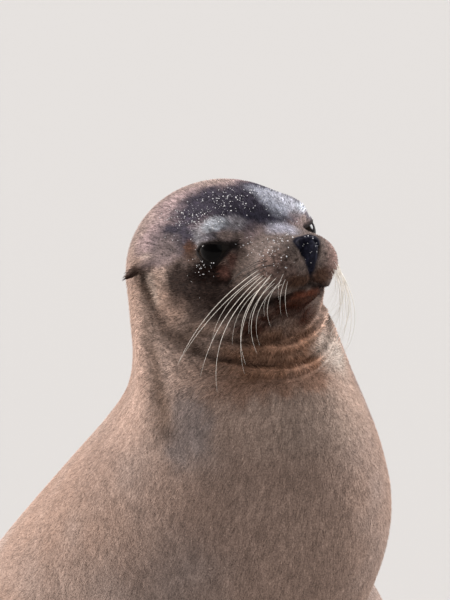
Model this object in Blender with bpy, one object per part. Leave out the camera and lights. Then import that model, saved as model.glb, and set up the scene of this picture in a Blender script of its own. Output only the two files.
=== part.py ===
"""A young sea lion, life-size, sitting up on its fore flippers with its head turned to its right.

Metres, +Z up, nose towards -Y, the animal's left towards +X, floor at z = 0.
"""
import math

import bmesh
import bpy
from mathutils import Matrix, Vector

# ---- driving dimensions ----
HEAD_PIVOT = Vector((0.008, 0.032, 0.671))   # where the skull sits on the neck
HEAD_TURN = math.radians(-16)    # towards the animal's right
HEAD_LIFT = math.radians(-13.5)    # nose raised
HEAD_ROLL = math.radians(-4)     # left side raised
PIVOT_IN_HEAD = Vector((0.0, 0.200, -0.020))

EYE_RADIUS = 0.0212
EYE_CENTRE = Vector((0.0420, 0.1070, 0.0125))
EAR_ROOT = Vector((0.0870, 0.1800, 0.0060))
EAR_LENGTH = 0.025
EAR_RADIUS = 0.0068
NOSE_HALF_WIDTH = 0.0175
MUZZLE_SLANT = 0.30          # the muzzle's front runs back this much for each metre down
SLANT_TOP = 0.013            # height in the head from which it slants
SLANT_REACH = 0.100          # and how far behind the nose the slant has faded
JAW_LINE = Vector((0.0, 0.170, -0.114))          # the head ends here, below the jaw
JAW_LINE_NORMAL = Vector((0.0, -0.30, 0.95))

GAP = 0.0003                 # clearance between pieces that touch
VOXEL = 0.0055               # grain of the body before it is simplified
TRIANGLES = {"head": 3200, "neck": 480, "trunk": 1600, "tail": 140}   # about, for the body
BODY_RING = 40                # points round a section of the body
FLIPPER_RING = 14

# Head sections from the nose back: distance behind the nose, half width, top, bottom, squareness.
HEAD_SECTIONS = {
    "nose_tip": (0.002, 0.018, 0.008, -0.016, 2.2),
    "nose_front": (0.007, 0.028, 0.013, -0.034, 2.3),
    "lips": (0.018, 0.034, 0.016, -0.043, 2.3),
    "whisker_pads": (0.034, 0.037, 0.020, -0.050, 2.3),
    "muzzle": (0.054, 0.040, 0.027, -0.060, 2.2),
    "muzzle_root": (0.074, 0.048, 0.037, -0.071, 2.2),
    "eye_fronts": (0.092, 0.060, 0.050, -0.083, 2.3),
    "brows": (0.112, 0.070, 0.062, -0.095, 2.3),
    "temples": (0.140, 0.079, 0.071, -0.105, 2.2),
    "crown": (0.170, 0.089, 0.077, -0.111, 2.1),
    "ears": (0.200, 0.094, 0.078, -0.110, 2.1),
    "skull_back": (0.230, 0.091, 0.069, -0.102, 2.1),
    "nape": (0.256, 0.070, 0.042, -0.080, 2.0),
    "nape_end": (0.268, 0.026, 0.006, -0.045, 2.0),
}

# Body sections from inside the head down to the tail: back point (y, z), belly point (y, z),
# half width, squareness.
BODY_SECTIONS = {
    "neck_top": ((0.072, 0.725), (-0.030, 0.710), 0.050, 2.0),
    "under_skull": ((0.112, 0.685), (-0.075, 0.665), 0.087, 2.0),
    "throat": ((0.115, 0.640), (-0.102, 0.628), 0.098, 2.0),
    "neck": ((0.109, 0.600), (-0.122, 0.596), 0.102, 2.0),
    "neck_root": ((0.116, 0.560), (-0.147, 0.556), 0.110, 2.0),
    "neck_base": ((0.143, 0.522), (-0.165, 0.515), 0.124, 2.0),
    "withers": ((0.190, 0.470), (-0.174, 0.462), 0.140, 2.1),
    "shoulders": ((0.250, 0.408), (-0.166, 0.402), 0.152, 2.1),
    "chest": ((0.316, 0.338), (-0.130, 0.322), 0.159, 2.1),
    "ribs": ((0.375, 0.268), (-0.064, 0.233), 0.158, 2.1),
    "loin": ((0.418, 0.203), (0.032, 0.143), 0.149, 2.1),
    "belly": ((0.448, 0.147), (0.138, 0.062), 0.131, 2.1),
    "rump": ((0.466, 0.106), (0.245, -0.004), 0.106, 2.1),
    "tail_root": ((0.483, 0.074), (0.352, -0.008), 0.068, 2.0),
    "tail": ((0.514, 0.050), (0.450, 0.004), 0.027, 2.0),
    "tail_tip": ((0.548, 0.030), (0.526, 0.010), 0.012, 2.0),
}

# Fore flipper of the left side: centre line, half chord, half thickness, chord direction.
FORE_SECTIONS = {
    "shoulder": ((0.105, 0.010, 0.350), 0.085, 0.050, (0.00, 0.95, 0.30)),
    "upper_arm": ((0.150, -0.004, 0.272), 0.084, 0.044, (0.02, 0.97, 0.22)),
    "elbow": ((0.180, -0.012, 0.192), 0.074, 0.036, (0.06, 0.98, 0.12)),
    "forearm": ((0.202, -0.016, 0.118), 0.062, 0.029, (0.12, 0.98, 0.06)),
    "wrist": ((0.222, -0.012, 0.062), 0.062, 0.025, (-0.16, 0.98, 0.00)),
    "palm_root": ((0.250, 0.004, 0.027), 0.067, 0.021, (-0.36, 0.93, 0.00)),
    "palm": ((0.292, 0.032, 0.013), 0.070, 0.0170, (-0.50, 0.86, 0.00)),
    "fingers": ((0.338, 0.066, 0.009), 0.062, 0.0125, (-0.56, 0.83, 0.00)),
    "finger_ends": ((0.384, 0.104, 0.006), 0.047, 0.0095, (-0.60, 0.80, 0.00)),
    "flap": ((0.420, 0.138, 0.004), 0.028, 0.0070, (-0.62, 0.78, 0.00)),
    "flap_end": ((0.438, 0.156, 0.004), 0.012, 0.0050, (-0.62, 0.78, 0.00)),
}

# Hind flipper of the left side, turned forwards under the rump.
HIND_SECTIONS = {
    "hip": ((0.060, 0.330, 0.075), 0.052, 0.040, (0.90, 0.30, 0.10)),
    "shin": ((0.098, 0.300, 0.052), 0.050, 0.036, (0.84, 0.52, 0.06)),
    "heel": ((0.128, 0.262, 0.030), 0.045, 0.028, (0.86, 0.50, 0.00)),
    "sole": ((0.146, 0.215, 0.016), 0.046, 0.019, (0.93, 0.36, 0.00)),
    "toes": ((0.160, 0.160, 0.010), 0.054, 0.0135, (0.95, 0.30, 0.00)),
    "toe_ends": ((0.174, 0.104, 0.006), 0.064, 0.0095, (0.96, 0.27, 0.00)),
    "webs": ((0.186, 0.060, 0.004), 0.060, 0.0070, (0.97, 0.25, 0.00)),
    "web_edge": ((0.191, 0.042, 0.004), 0.044, 0.0050, (0.97, 0.24, 0.00)),
}

# Swellings and hollows pressed into the head: side (1 = on both sides, 0 = in the middle), centre,
# reach along x, y and z, height.
HEAD_FORMS = {
    "brow": (1, (0.057, 0.098, 0.040), (0.016, 0.020, 0.012), 0.0070),
    "eye_hollow": (1, (0.061, 0.097, 0.012), (0.022, 0.024, 0.010), -0.0065),
    "stop": (0, (0.000, 0.074, 0.040), (0.016, 0.018, 0.012), -0.0020),
    "whisker_pad": (1, (0.030, 0.030, -0.012), (0.016, 0.020, 0.016), 0.0050),
    "cheek": (1, (0.068, 0.150, -0.040), (0.022, 0.034, 0.028), 0.0045),
    "mouth_groove": (1, (0.044, 0.060, -0.040), (0.012, 0.040, 0.007), -0.0030),
    "chin": (0, (0.000, 0.036, -0.050), (0.020, 0.014, 0.010), 0.0030),
    "temple_hollow": (1, (0.074, 0.150, 0.024), (0.020, 0.024, 0.016), -0.0030),
}


def clear_scene():
    for thing in list(bpy.data.objects):
        bpy.data.objects.remove(thing, do_unlink=True)


def finish_material(name, colour, roughness, metallic=0.0):
    material = bpy.data.materials.new(name)
    material.use_nodes = True
    shader = material.node_tree.nodes["Principled BSDF"]
    shader.inputs["Base Color"].default_value = (*colour, 1.0)
    shader.inputs["Roughness"].default_value = roughness
    shader.inputs["Metallic"].default_value = metallic
    material.diffuse_color = (*colour, 1.0)
    return material


def head_matrix():
    """Head axes (nose at the origin, looking along -Y) to the pose on the neck."""
    turn = Matrix.Rotation(HEAD_TURN, 4, "Z") @ Matrix.Rotation(HEAD_LIFT, 4, "X")
    turn = turn @ Matrix.Rotation(HEAD_ROLL, 4, "Y")
    return Matrix.Translation(HEAD_PIVOT) @ turn @ Matrix.Translation(-PIVOT_IN_HEAD)


def ring(centre, across, up, down, squareness, count=BODY_RING):
    """A closed section: half axes across, up and down round a centre."""
    points = []
    for step in range(count):
        angle = 2 * math.pi * step / count
        c, s = math.cos(angle), math.sin(angle)
        x = math.copysign(abs(c) ** (2 / squareness), c)
        z = math.copysign(abs(s) ** (2 / squareness), s)
        points.append(centre + across * x + (up if s > 0 else down) * abs(z))
    return points


def blend_rows(rows, steps):
    """Catmull-Rom rows between the named sections, each row being a tuple of numbers."""
    out = []
    for i in range(len(rows) - 1):
        a, b = rows[max(i - 1, 0)], rows[i]
        c, d = rows[i + 1], rows[min(i + 2, len(rows) - 1)]
        for step in range(steps):
            t = step / steps
            row = []
            for p, q, r, s in zip(a, b, c, d):
                bend = (2 * p - 5 * q + 4 * r - s) * t * t + (3 * q - p - 3 * r + s) * t ** 3
                row.append(0.5 * (2 * q + (r - p) * t + bend))
            out.append(tuple(row))
    out.append(tuple(rows[-1]))
    return out


def skin_rings(name, rings):
    """One closed mesh through the rings, with a fan at each end."""
    mesh = bmesh.new()
    loops = [[mesh.verts.new(p) for p in points] for points in rings]
    count = len(loops[0])
    for near, far in zip(loops, loops[1:]):
        for i in range(count):
            j = (i + 1) % count
            mesh.faces.new((near[i], near[j], far[j], far[i]))
    for loop in (loops[0], loops[-1]):
        middle = mesh.verts.new(sum((v.co for v in loop), Vector()) / count)
        for i in range(count):
            mesh.faces.new((loop[i], loop[(i + 1) % count], middle))
    bmesh.ops.recalc_face_normals(mesh, faces=mesh.faces)
    return new_object(name, mesh)


def new_object(name, mesh):
    data = bpy.data.meshes.new(name)
    mesh.to_mesh(data)
    mesh.free()
    thing = bpy.data.objects.new(name, data)
    bpy.context.scene.collection.objects.link(thing)
    return thing


def head_loft():
    rings = []
    for s, width, top, bottom, square in blend_rows(list(HEAD_SECTIONS.values()), 4):
        middle = 0.5 * (top + bottom)
        half = 0.5 * (top - bottom)
        slant = MUZZLE_SLANT * max(0.0, 1 - s / SLANT_REACH)
        upward = Vector((0, -slant * half, half))
        rings.append(ring(Vector((0, s + slant * (SLANT_TOP - middle), middle)),
                          Vector((width, 0, 0)), upward, -upward, square))
    loft = skin_rings("head_form", rings)
    loft.data.transform(head_matrix())
    return loft


def body_loft():
    rows = [(*back, *belly, width, square) for back, belly, width, square in BODY_SECTIONS.values()]
    rings = []
    for back_y, back_z, belly_y, belly_z, width, square in blend_rows(rows, 4):
        back = Vector((0, back_y, back_z))
        belly = Vector((0, belly_y, belly_z))
        centre = 0.5 * (back + belly)
        rings.append(ring(centre, Vector((width, 0, 0)), back - centre, belly - centre, square))
    return skin_rings("body_form", rings)


def flipper_loft(name, sections, side):
    """A flipper from its root to its edge; side is 1 for the left and -1 for the right."""
    rows = [(*c, chord, thick, *d) for c, chord, thick, d in sections.values()]
    rows = blend_rows(rows, 2)
    centres = [Vector(row[:3]) for row in rows]
    rings = []
    for i, row in enumerate(rows):
        along = (centres[min(i + 1, len(rows) - 1)] - centres[max(i - 1, 0)]).normalized()
        chord = Vector(row[5:8])
        chord = (chord - along * chord.dot(along)).normalized()
        thick = along.cross(chord).normalized()
        rings.append(ring(centres[i], chord * row[3], thick * row[4], -thick * row[4], 2.2,
                          FLIPPER_RING))
    flipper = skin_rings(name, rings)
    flipper.data.transform(Matrix.Diagonal((side, 1, 1, 1)))
    if side < 0:
        flipper.data.flip_normals()
    return flipper


def settle(thing, add):
    """Add a modifier through the given function and make its result the mesh."""
    add(thing.modifiers)
    bpy.context.view_layer.update()
    solved = thing.evaluated_get(bpy.context.evaluated_depsgraph_get())
    data = bpy.data.meshes.new_from_object(solved)
    thing.modifiers.clear()
    thing.data = data
    return thing


def remesh(thing, size):
    def add(stack):
        step = stack.new("Remesh", "REMESH")
        step.mode = "VOXEL"
        step.voxel_size = size
        step.use_smooth_shade = True
    return settle(thing, add)


def smooth(thing, times, factor=0.5):
    def add(stack):
        step = stack.new("Smooth", "SMOOTH")
        step.iterations = times
        step.factor = factor
    return settle(thing, add)


def simplify(thing, triangles):
    def add(stack):
        stack.new("Triangulate", "TRIANGULATE")
        step = stack.new("Decimate", "DECIMATE")
        step.ratio = triangles / sum(len(face.vertices) - 2 for face in thing.data.polygons)
        step.use_collapse_triangulate = True
    return settle(thing, add)


def boolean(thing, cutter, operation):
    def add(stack):
        step = stack.new("Boolean", "BOOLEAN")
        step.operation = operation
        step.solver = "EXACT"
        step.object = cutter
    return settle(thing, add)


def join(things, name):
    mesh = bmesh.new()
    for thing in things:
        mesh.from_mesh(thing.data)
        bpy.data.objects.remove(thing, do_unlink=True)
    return new_object(name, mesh)


def press_forms(thing, forms, frame):
    """Move the skin along its normals by each named form, in the head's own axes."""
    back = frame.inverted()
    mesh = thing.data
    normals = [v.normal.copy() for v in mesh.vertices]
    for sided, centre, reach, height in forms.values():
        for side in ((1, -1) if sided else (1,)):
            middle = Vector((centre[0] * side, centre[1], centre[2]))
            for vertex, normal in zip(mesh.vertices, normals):
                away = back @ vertex.co - middle
                far = sum((away[i] / reach[i]) ** 2 for i in range(3))
                if far < 9:
                    vertex.co += normal * height * math.exp(-0.5 * far)
    mesh.update()


def swollen(thing, amount):
    """A copy pushed out along its normals, used as a cutter with clearance."""
    copy = bpy.data.objects.new(thing.name + "_cutter", thing.data.copy())
    bpy.context.scene.collection.objects.link(copy)
    normals = [v.normal.copy() for v in copy.data.vertices]
    for vertex, normal in zip(copy.data.vertices, normals):
        vertex.co += normal * amount
    copy.hide_render = True
    copy.display_type = "WIRE"
    return copy


def carve(thing, piece):
    """Cut the piece, with clearance, out of the thing."""
    cutter = swollen(piece, GAP)
    boolean(thing, cutter, "DIFFERENCE")
    bpy.data.objects.remove(cutter, do_unlink=True)


def slice_off(thing, point, normal, name):
    """Keep what lies behind the plane in the thing, and return what lies before it, a gap apart."""
    normal = normal.normalized()
    mesh = bmesh.new()
    mesh.from_mesh(thing.data)
    cut_plane(mesh, point + normal * GAP / 2, -normal)
    piece = new_object(name, mesh)
    mesh = bmesh.new()
    mesh.from_mesh(thing.data)
    cut_plane(mesh, point - normal * GAP / 2, normal)
    mesh.to_mesh(thing.data)
    mesh.free()
    return piece


def cut_plane(mesh, point, normal):
    """Remove what lies on the normal's side of a plane and cap the cut."""
    geometry = mesh.verts[:] + mesh.edges[:] + mesh.faces[:]
    cut = bmesh.ops.bisect_plane(mesh, geom=geometry, dist=1e-6, plane_co=point, plane_no=normal,
                                 clear_outer=True)
    edges = [e for e in cut["geom_cut"] if isinstance(e, bmesh.types.BMEdge)]
    bmesh.ops.holes_fill(mesh, edges=edges, sides=0)
    bmesh.ops.triangulate(mesh, faces=[f for f in mesh.faces if len(f.verts) > 3])


def flatten_feet(thing):
    """Cut at the floor, so that the thing rests on flats at one level."""
    mesh = bmesh.new()
    mesh.from_mesh(thing.data)
    cut_plane(mesh, Vector((0, 0, 0)), Vector((0, 0, -1)))
    mesh.to_mesh(thing.data)
    mesh.free()


def make_eye(name, side, frame, material):
    mesh = bmesh.new()
    bmesh.ops.create_uvsphere(mesh, u_segments=16, v_segments=10, radius=EYE_RADIUS)
    eye = new_object(name, mesh)
    place = Vector((EYE_CENTRE.x * side, EYE_CENTRE.y, EYE_CENTRE.z))
    eye.matrix_world = frame @ Matrix.Translation(place)
    bake_place(eye)
    eye.data.materials.append(material)
    return eye


def make_ear(name, side, frame, material):
    """A small rolled ear that points back and down."""
    along = Vector((0.62 * side, 0.74, -0.26)).normalized()
    across = Vector((0, 0, 1)).cross(along).normalized()
    upward = along.cross(across)
    rings = []
    for step in range(6):
        t = step / 5
        girth = EAR_RADIUS * (1 - 0.80 * t ** 1.6)
        sag = Vector((0, 0, -0.006)) * t * t
        centre = along * (EAR_LENGTH * (1.35 * t - 0.35)) + sag
        rings.append([centre + across * girth * 0.62 * math.cos(a) + upward * girth * math.sin(a)
                      for a in [2 * math.pi * k / 10 for k in range(10)]])
    ear = skin_rings(name, rings)
    place = Vector((EAR_ROOT.x * side, EAR_ROOT.y, EAR_ROOT.z))
    ear.matrix_world = frame @ Matrix.Translation(place)
    bake_place(ear)
    ear.data.materials.append(material)
    return ear


def make_nose(name, frame, material):
    """The bare nose pad: broad on top, narrowing to the lip below."""
    mesh = bmesh.new()
    bmesh.ops.create_uvsphere(mesh, u_segments=16, v_segments=10, radius=1.0)
    for vertex in mesh.verts:
        x, y, z = vertex.co
        narrow = 0.58 + 0.42 * min(1.0, max(0.0, 0.65 + 0.9 * z))
        height = 0.003 + z * 0.0170
        vertex.co = (x * NOSE_HALF_WIDTH * narrow,
                     0.0125 + y * 0.0135 + MUZZLE_SLANT * (SLANT_TOP - height), height)
    nose = new_object(name, mesh)
    nose.matrix_world = frame
    bake_place(nose)
    nose.data.materials.append(material)
    return nose


def bake_place(thing):
    bpy.context.view_layer.update()
    thing.data.transform(thing.matrix_world)
    thing.matrix_world = Matrix.Identity(4)


def main():
    clear_scene()
    frame = head_matrix()
    fur = finish_material("short_fur", (0.42, 0.33, 0.28), 0.75)
    hide = finish_material("bare_hide", (0.06, 0.05, 0.05), 0.55)
    nose_hide = finish_material("nose_hide", (0.012, 0.011, 0.012), 0.45)
    eye_gloss = finish_material("eye_gloss", (0.010, 0.007, 0.005), 0.05)

    body = join([head_loft(), body_loft()], "trunk")
    remesh(body, VOXEL)
    smooth(body, 9)
    press_forms(body, HEAD_FORMS, frame)
    smooth(body, 1)

    # thin cuts part the body into head, neck, trunk and tail
    turn = frame.to_3x3()
    head = slice_off(body, frame @ JAW_LINE, turn @ JAW_LINE_NORMAL, "head")
    neck = slice_off(body, Vector((0, 0, 0.505)), Vector((0, -0.02, 1)), "neck")
    tail = slice_off(body, Vector((0, 0.487, 0.04)), Vector((0, 1, -0.35)), "tail")
    for piece in (head, neck, body, tail):
        simplify(piece, TRIANGLES[piece.name])
    flatten_feet(body)

    for side, word in ((1, "left"), (-1, "right")):
        fore = flipper_loft("fore_flipper_" + word, FORE_SECTIONS, side)
        hind = flipper_loft("hind_flipper_" + word, HIND_SECTIONS, side)
        for flipper in (fore, hind):
            flatten_feet(flipper)
            carve(flipper, body)
            keep_largest(flipper)
            flipper.data.materials.clear()
            flipper.data.materials.append(hide)
        eye = make_eye("eye_" + word, side, frame, eye_gloss)
        ear = make_ear("ear_" + word, side, frame, hide)
        carve(head, eye)
        carve(head, ear)
    nose = make_nose("nose_pad", frame, nose_hide)
    carve(head, nose)
    for piece in (head, neck, body, tail):
        piece.data.materials.clear()
        piece.data.materials.append(fur)
    centre_on_floor(list(bpy.data.objects))
    for piece in bpy.data.objects:
        piece.data.shade_smooth()
        piece.data.set_sharp_from_angle(angle=math.radians(50))


def centre_on_floor(things):
    """Bring the middle of the whole outline, seen from above, over the origin."""
    points = [v.co for thing in things for v in thing.data.vertices]
    middle = [0.5 * (min(p[i] for p in points) + max(p[i] for p in points)) for i in (0, 1)]
    for thing in things:
        thing.data.transform(Matrix.Translation((-middle[0], -middle[1], 0)))


def keep_largest(thing):
    """Drop the scraps that a cut leaves inside the body, keeping the biggest closed piece."""
    mesh = bmesh.new()
    mesh.from_mesh(thing.data)
    left = set(mesh.verts)
    groups = []
    while left:
        stack = [left.pop()]
        group = set(stack)
        while stack:
            for edge in stack.pop().link_edges:
                for vertex in edge.verts:
                    if vertex in left:
                        left.discard(vertex)
                        group.add(vertex)
                        stack.append(vertex)
        groups.append(group)
    groups.sort(key=len)
    for group in groups[:-1]:
        bmesh.ops.delete(mesh, geom=list(group), context="VERTS")
    mesh.to_mesh(thing.data)
    mesh.free()


main()
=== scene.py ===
"""Dresses the young sea lion: one skin with folds and lids, short fur, whiskers, eyes and nails.

Metres, +Z up, nose towards -Y, the animal's left towards +X. The tables of the head are in mm in
the head's own axes: x to the animal's left, y back from the nose, z up, with the jaw level. They
give the left side, and the right side mirrors it, apart from what is said to differ.
"""
import itertools
import math
from collections import namedtuple

import bmesh
import bpy
import numpy as np
from mathutils import Matrix, Vector
from mathutils.bvhtree import BVHTree


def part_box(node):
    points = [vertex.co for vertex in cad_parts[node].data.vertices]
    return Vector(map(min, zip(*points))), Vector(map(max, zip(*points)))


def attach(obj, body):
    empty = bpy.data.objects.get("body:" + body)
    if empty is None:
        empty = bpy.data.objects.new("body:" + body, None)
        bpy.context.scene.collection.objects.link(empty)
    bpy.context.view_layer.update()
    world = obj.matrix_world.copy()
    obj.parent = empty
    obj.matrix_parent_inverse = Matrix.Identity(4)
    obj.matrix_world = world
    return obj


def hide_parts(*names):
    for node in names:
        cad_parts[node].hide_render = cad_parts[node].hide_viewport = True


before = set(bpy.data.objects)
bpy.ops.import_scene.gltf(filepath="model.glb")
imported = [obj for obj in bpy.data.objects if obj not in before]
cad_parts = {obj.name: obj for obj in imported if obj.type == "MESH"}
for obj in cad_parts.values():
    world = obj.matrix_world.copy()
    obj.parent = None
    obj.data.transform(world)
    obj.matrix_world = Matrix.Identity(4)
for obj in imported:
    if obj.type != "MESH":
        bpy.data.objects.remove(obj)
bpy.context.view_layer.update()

MM = 0.001

# ---- the pose of the head, as the solids have it ----
HEAD_TURN, HEAD_LIFT, HEAD_ROLL = math.radians(-16), math.radians(-13.5), math.radians(-4)
EYES_IN_HEAD = Vector((0.0, 0.1070, 0.0125))
EAR_ROOT = np.array((0.0885, 0.1830, 0.0060))
EAR_LENGTH, EAR_FOOT, EAR_GIRTH, EAR_SAG = 0.026, 0.0110, 0.0068, 0.0050

# ---- camera ----
CAMERA_AZIMUTH, CAMERA_HEIGHT_ANGLE = math.radians(-45), math.radians(15)
CAMERA_DISTANCE = 2.4
VIEW_HEIGHT = 0.60            # metres seen from top to bottom at the head
VIEW_FROM_EYES = Vector((0.0099, 0.0541, -0.0712))   # from between the eyes to what it looks at

# ---- skin and coat ----
SKIN_GRAIN = 0.0060
FLESH = ("head", "neck", "trunk", "tail", "fore_flipper_left", "fore_flipper_right",
         "hind_flipper_left", "hind_flipper_right", "ear_left", "ear_right", "nose_pad")
COAT_DEPTH_BODY, COAT_DEPTH_HEAD = 0.0022, 0.0010
TUFT_GAP_BODY, TUFT_GAP_HEAD, TUFT_GAP_FACE = 0.0024, 0.0022, 0.0018
TUFT_LENGTH_BODY, TUFT_LENGTH_HEAD = 0.0072, 0.0046
TUFT_LIFT = math.radians(9)
BAKE_PATCH = 0.003           # width of one tuft's patch on the skin's unwrap
MOST_TRIANGLES = 190000      # in one piece of the coat

# ---- colours (linear, in thousandths) ----
FAWN, PALE_FAWN, ASH, BELLY = (340, 238, 192), (350, 272, 238), (205, 165, 160), (200, 140, 112)
NOSE_BLACK, HIDE, PAD_SPOT, LID_RIM = (11, 11, 20), (55, 43, 40), (14, 9, 8), (10, 8, 8)


def box_centre(node):
    low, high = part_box(node)
    return (Vector(low) + Vector(high)) / 2


def head_matrix():
    turn = Matrix.Rotation(HEAD_TURN, 4, "Z") @ Matrix.Rotation(HEAD_LIFT, 4, "X")
    turn = turn @ Matrix.Rotation(HEAD_ROLL, 4, "Y")
    eyes = (box_centre("eye_left") + box_centre("eye_right")) / 2
    return Matrix.Translation(eyes) @ turn @ Matrix.Translation(-EYES_IN_HEAD)


HEAD = head_matrix()
HEAD_AXES = np.array(HEAD.to_3x3())
HEAD_ORIGIN = np.array(HEAD.translation)
BETWEEN_EYES = HEAD @ EYES_IN_HEAD


def into_head(points):
    """World points, as rows, in the head's own axes."""
    return (points - HEAD_ORIGIN) @ HEAD_AXES


def out_of_head(points):
    return points @ HEAD_AXES.T + HEAD_ORIGIN


def mirrored(rows):
    """Rows with those of the right side brought to the left."""
    return np.column_stack([np.abs(rows[:, 0]), rows[:, 1:]])


def lengths(rows):
    return np.linalg.norm(rows, axis=-1)


def unit(rows):
    return rows / np.maximum(lengths(rows), 1e-6)[..., None]


# ---- shader expressions ----

def arithmetic(operation):
    """An operator with the socket on its left, and its reflected form."""
    return (lambda self, other: self.combine(operation, self, other),
            lambda self, other: self.combine(operation, other, self))


class Sum:
    """A shader socket that takes part in arithmetic, adding Math nodes as it goes."""

    def __init__(self, shader, socket):
        self.shader, self.socket = shader, socket

    def combine(self, operation, a, b):
        sockets = self.shader.node("Math", {0: a, 1: b}, operation=operation)
        return Sum(self.shader, sockets[0])

    __add__, __radd__ = arithmetic("ADD")
    __sub__, __rsub__ = arithmetic("SUBTRACT")
    __mul__, __rmul__ = arithmetic("MULTIPLY")


class Shader:
    """One material and the few ways its nodes are made."""

    def __init__(self, name):
        self.material = bpy.data.materials.new(name)
        self.material.use_nodes = True
        self.tree = self.material.node_tree
        self.surface = self.tree.nodes["Principled BSDF"]

    def node(self, kind, inputs, **settings):
        made = self.tree.nodes.new("ShaderNode" + kind)
        for key, value in settings.items():
            setattr(made, key, value)
        for key, value in inputs.items():
            self.join(made.inputs[key], value)
        return made.outputs

    def join(self, socket, value):
        if isinstance(value, Sum):
            value = value.socket
        if isinstance(value, bpy.types.NodeSocket):
            self.tree.links.new(value, socket)
        elif socket.type == "RGBA":
            socket.default_value = (*value, 1.0)
        else:
            socket.default_value = value

    def set(self, **inputs):
        for key, value in inputs.items():
            self.join(self.surface.inputs[key.replace("_", " ")], value)

    def mix(self, mask, below, above):
        return self.node("Mix", {0: mask, 6: below, 7: above}, data_type="RGBA")[2]

    def noise(self, place, scale, detail, roughness=0.5):
        inputs = {"Vector": place, "Scale": scale, "Detail": detail, "Roughness": roughness}
        return Sum(self, self.node("TexNoise", inputs)[0])

    def step(self, value, low, high):
        """0 below low, 1 above high, smooth between."""
        inputs = {0: value, 1: low, 2: high, 3: 0.0, 4: 1.0}
        return Sum(self, self.node("MapRange", inputs, interpolation_type="SMOOTHSTEP")[0])

    def bump(self, height, strength, distance):
        inputs = {"Height": height, "Strength": strength, "Distance": distance}
        self.set(Normal=self.node("Bump", inputs)[0])


# ---- lines and patches of the head ----

def throat_line(depth):
    """A line round the underside of the jaw: 0 is close under the jaw, 1 is the lower fold."""
    return [(x, 80 - 7 * depth + 0.0072 * x ** 2, -92 - 22 * depth + 0.004 * x ** 2)
            for x in 7.2 * np.arange(13)]


# Lines along which the face is creased or coloured, and the dark spots of the whisker pads. They
# are laid onto the skin once it is made, in metres.
LINES = {
    "mouth": ((0, 18, -31.5), (6, 19, -33), (14, 23.4, -36.6), (21, 30, -39.5), (28, 45, -44),
        (35, 62, -46.5), (45, 82, -45)),
    "philtrum": ((0, 10, -17), (0, 13.5, -24.5), (0, 17.2, -31)),
    "nostril": ((4, 4.5, 11.5), (8.2, 5, 8), (10, 6.5, 2), (8, 7.5, -4)),
    "jowl": ((93, 183, -10), (96, 171, -26), (98, 160, -42), (96, 148, -57), (89, 134, -66),
        (80, 119, -77)),
    "cheek": ((90, 164, -12), (88, 148, -30), (86, 134, -44), (76, 116, -60)),
    # the line of the painted shadow under the overhanging whisker pads
    "shadow_under_pad": ((26, 36, -44), (34, 52, -44), (40, 68, -43), (50, 86, -42), (58, 98, -45)),
    "neck_fold": ((102, 176, -55), (106, 172, -90), (109, 164, -124), (113, 152, -155)),
    "ear_fur": ((92, 174, -4), (94, 167, -16), (96, 158, -28)),
    "pad_spots": ((36, 23, 4), (30, 15, 5), (24, 8, 1), (37, 18, -4), (31, 11, -7), (22, 8, -10),
        (16, 7, -5), (40, 32, -2), (34, 29, 7), (39, 26, -10), (34, 17, -14), (27, 12, -14),
        (20, 11, -18), (40, 35, -16), (36, 24, -19), (29, 18, -22), (41, 39, 3), (28, 24, 10),
        (20, 14, 12), (22, 17, -26), (31, 27, -27), (37, 36, -24), (26, 9, -3), (33, 21, -1),
        (36, 29, -5), (30, 19, -10), (25, 15, -19), (33, 24, -15), (38, 33, -10)),
}
LINES["upper_lip"] = [(x, y + 1, z + 8.5) for x, y, z in LINES["mouth"][:-1]]
LINES["lower_lip"] = [(x, y + 3, z - 8.5) for x, y, z in LINES["mouth"][:-1]]
for fold, depth in (("upper_fold", 0.0), ("lower_fold", 1.0)):
    LINES[fold] = throat_line(depth)
    LINES[fold + "_above"] = throat_line(depth - 0.32)
    LINES[fold + "_below"] = throat_line(depth + 0.30)
EAR_LINE = MM * np.array(((93, 188, 4), (99, 195, 0), (106.5, 203, -8)))

# Fingers and toes of the left side, in mm in world axes: for three places along each flipper, its
# middle, the way across it and half its width; then how far across each finger lies.
DIGITS = {
    "finger": ((((236, -192, 50), (-0.25, 0.97, 0), 50),
                ((296, -150, 30), (-0.5, 0.86, 0), 58),
                ((398, -68, 20), (-0.56, 0.83, 0), 36)),
               (-0.86, -0.44, -0.02, 0.38, 0.78)),
    "toe": ((((140, 40, 50), (0.93, 0.36, 0), 36),
             ((160, -25, 30), (0.95, 0.3, 0), 48),
             ((184, -118, 20), (0.96, 0.27, 0), 56)),
            (-0.86, -0.44, 0, 0.44, 0.86)),
}
DIGIT_LINES = {}


def lay_lines_on(tree):
    """Bring the lines of the face, fingers and toes onto the skin."""
    for name, line in LINES.items():
        LINES[name] = into_head(onto(tree, out_of_head(np.array(line) * MM)))
    for name, (stations, shares) in DIGITS.items():
        for number, share in enumerate(shares):
            line = [(np.array(middle) + np.array(across) * half * share) * MM
                    for middle, across, half in stations]
            DIGIT_LINES[name, number] = onto(tree, line)


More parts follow.
